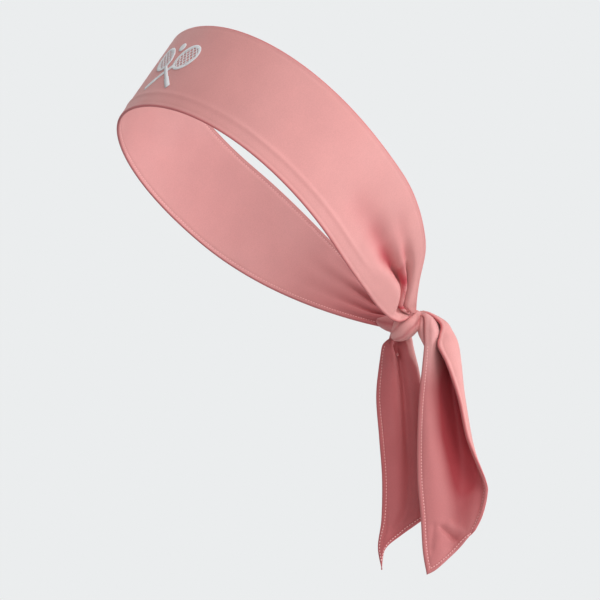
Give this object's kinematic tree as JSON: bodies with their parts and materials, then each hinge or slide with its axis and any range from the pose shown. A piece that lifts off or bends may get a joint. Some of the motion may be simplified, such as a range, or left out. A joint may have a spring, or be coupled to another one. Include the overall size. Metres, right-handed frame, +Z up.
{
  "type": "sports headband",
  "caption": "Two-layer knit tie headband: a wide tilted loop for the head, knotted behind, with slant-cut hanging tails.",
  "frame": {"origin": "middle of the head opening, which is the mount head_opening, halfway between forehead and knot and across the band", "axes": "+Z up as worn, so the tails hang along -Z; -Y is the wearer's front, where the emblem is; +X is the wearer's left. The loop's plane rises 38.3 degrees towards the front."},
  "size_m": [0.16, 0.209, 0.2915],
  "materials": {
    "shell_knit": "matte",
    "lining_knit": "matte",
    "thread": "matte",
    "print": "matte"
  },
  "bodies": {
    "band": {"band_shell": "shell_knit", "band_lining": "lining_knit", "band_top_stitching": "thread", "band_bottom_stitching": "thread", "front_print": "print", "knot_wrap": "shell_knit", "knot_left_loop": "shell_knit", "knot_right_loop": "shell_knit"},
    "left_tail": {"left_tail_shell": "shell_knit", "left_tail_lining": "lining_knit", "left_tail_stitching": "thread"},
    "right_tail": {"right_tail_shell": "shell_knit", "right_tail_lining": "lining_knit", "right_tail_stitching": "thread"}
  },
  "joints": [
    {"name": "left_tail_swing", "type": "hinge", "parent": "band", "child": "left_tail", "pos_m": [0.007, 0.08821, -0.07005], "axis": [1, 0, 0], "range_deg": [-15, 75]},
    {"name": "right_tail_swing", "type": "hinge", "parent": "band", "child": "right_tail", "pos_m": [-0.022, 0.07361, -0.07205], "axis": [1, 0, 0], "range_deg": [-15, 75]}
  ]
}
